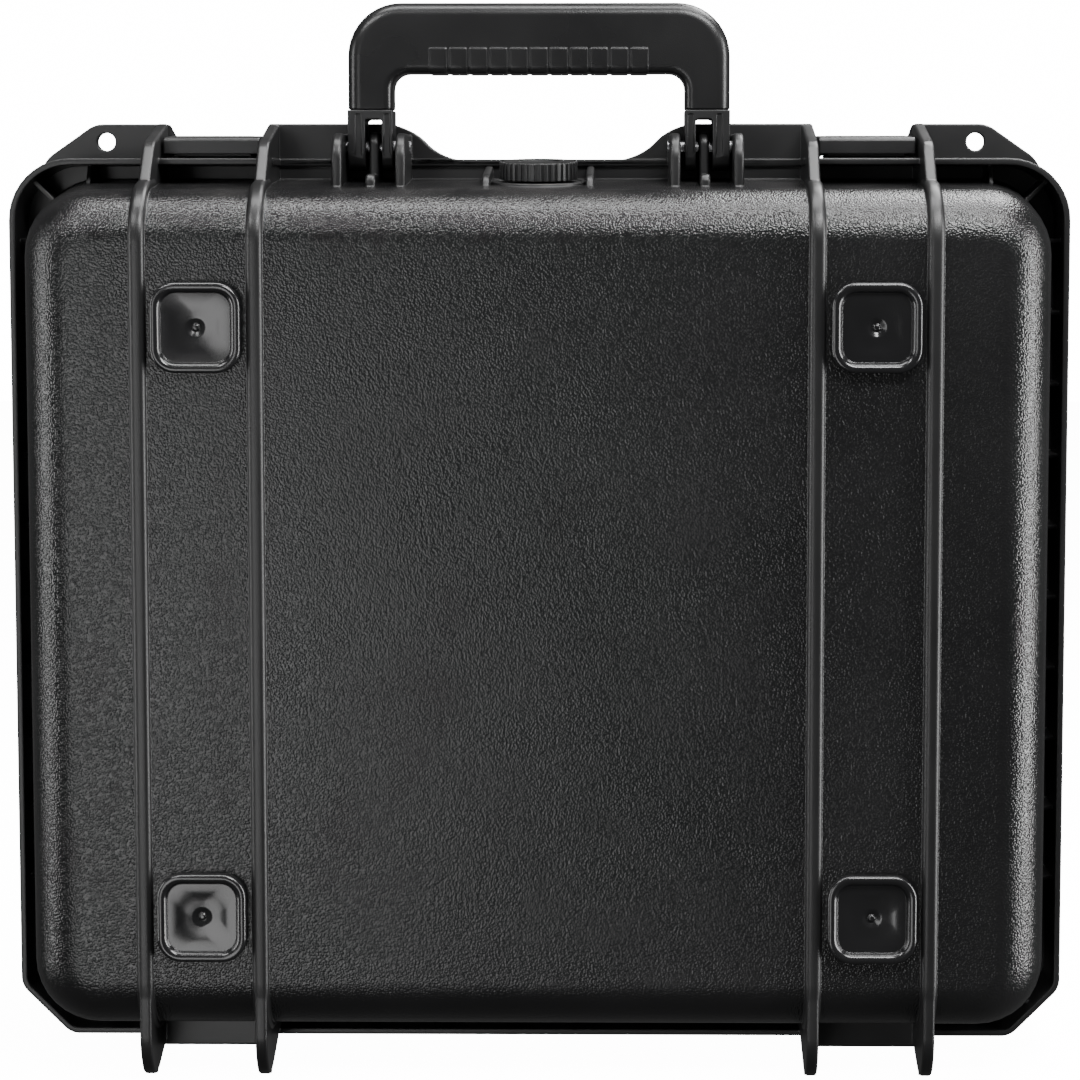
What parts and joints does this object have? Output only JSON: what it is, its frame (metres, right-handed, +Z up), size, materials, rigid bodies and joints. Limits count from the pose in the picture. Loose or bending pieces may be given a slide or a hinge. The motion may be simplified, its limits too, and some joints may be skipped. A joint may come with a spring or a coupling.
{
  "type": "drone carrying case",
  "caption": "Hard moulded carrying case for a small drone, with hinged lid, folding handle, two over-centre latches, purge valve, square feet and a foam interior.",
  "frame": {"origin": "on the surface under the case, at the middle of its footprint, with the case standing on its hinge side", "axes": "+Z up towards the handle, -Y out of the base half with its feet, +Y out of the lid half, +X to the right seen from the base half"},
  "size_m": [0.4114, 0.1452, 0.4136],
  "materials": {
    "case_plastic": "black pebbled moulding, semi-matt",
    "fitting_plastic": "black nylon moulding, satin",
    "handle_rubber": "black soft-touch overmould",
    "foot_rubber": "black, glossy",
    "seal_rubber": "dark grey, matt",
    "pin_steel": "bright drawn steel",
    "foam": "charcoal open-cell foam"
  },
  "bodies": {
    "base": {"base_shell": "case_plastic", "base_foam": "foam", "foot_handle_left": "foot_rubber", "foot_handle_right": "foot_rubber", "foot_hinge_left": "foot_rubber", "foot_hinge_right": "foot_rubber", "valve_bush": "fitting_plastic", "valve_nut": "fitting_plastic", "hinge_pin_left": "pin_steel", "hinge_pin_right": "pin_steel", "handle_pin_left": "pin_steel", "handle_pin_right": "pin_steel"},
    "lid": {"lid_shell": "case_plastic", "lid_seal": "seal_rubber", "lid_foam": "foam", "latch_pin_left": "pin_steel", "latch_pin_right": "pin_steel"},
    "handle": {"handle_frame": "fitting_plastic", "handle_grip": "handle_rubber"},
    "valve_screw": {"valve_o_ring": "seal_rubber"},
    "valve_knob": {"valve_knob": "fitting_plastic"},
    "lever_left": {"latch_lever_left": "fitting_plastic", "link_pin_left": "pin_steel"},
    "hook_left": {"latch_hook_left": "fitting_plastic"},
    "lever_right": {"latch_lever_right": "fitting_plastic", "link_pin_right": "pin_steel"},
    "hook_right": {"latch_hook_right": "fitting_plastic"}
  },
  "joints": [
    {"name": "lid_hinge", "type": "hinge", "parent": "base", "child": "lid", "pos_m": [0, 0.00187, 0.006], "axis": [-1, 0, 0], "range_deg": [0, 105]},
    {"name": "handle_fold", "type": "hinge", "parent": "base", "child": "handle", "pos_m": [0, -0.01512, 0.358], "axis": [1, 0, 0], "range_deg": [0, 90]},
    {"name": "latch_left_lift", "type": "hinge", "parent": "lid", "child": "lever_left", "pos_m": [-0.1275, 0.02187, 0.3582], "axis": [-1, 0, 0], "range_deg": [0, 100]},
    {"name": "latch_left_link", "type": "hinge", "parent": "lever_left", "child": "hook_left", "pos_m": [-0.1275, 0.00788, 0.3571], "axis": [1, 0, 0], "range_deg": [0, 35]},
    {"name": "latch_right_lift", "type": "hinge", "parent": "lid", "child": "lever_right", "pos_m": [0.1275, 0.02187, 0.3582], "axis": [-1, 0, 0], "range_deg": [0, 100]},
    {"name": "latch_right_link", "type": "hinge", "parent": "lever_right", "child": "hook_right", "pos_m": [0.1275, 0.00788, 0.3571], "axis": [1, 0, 0], "range_deg": [0, 35]},
    {"name": "valve_lift", "type": "slide", "parent": "base", "child": "valve_screw", "axis": [0, -0.0872, 0.9962], "range_m": [0, 0.002]},
    {"name": "valve_turn", "type": "hinge", "parent": "valve_screw", "child": "valve_knob", "pos_m": [0, -0.02562, 0.34372], "axis": [0, -0.0872, 0.9962], "range_deg": [0, 360]}
  ],
  "couplings": [
    {"joint": "latch_left_link", "follows": "latch_left_lift", "ratio": 0.35},
    {"joint": "latch_right_link", "follows": "latch_right_lift", "ratio": 0.35},
    {"joint": "valve_turn", "follows": "valve_lift", "rad_per_m": 3141.6}
  ]
}
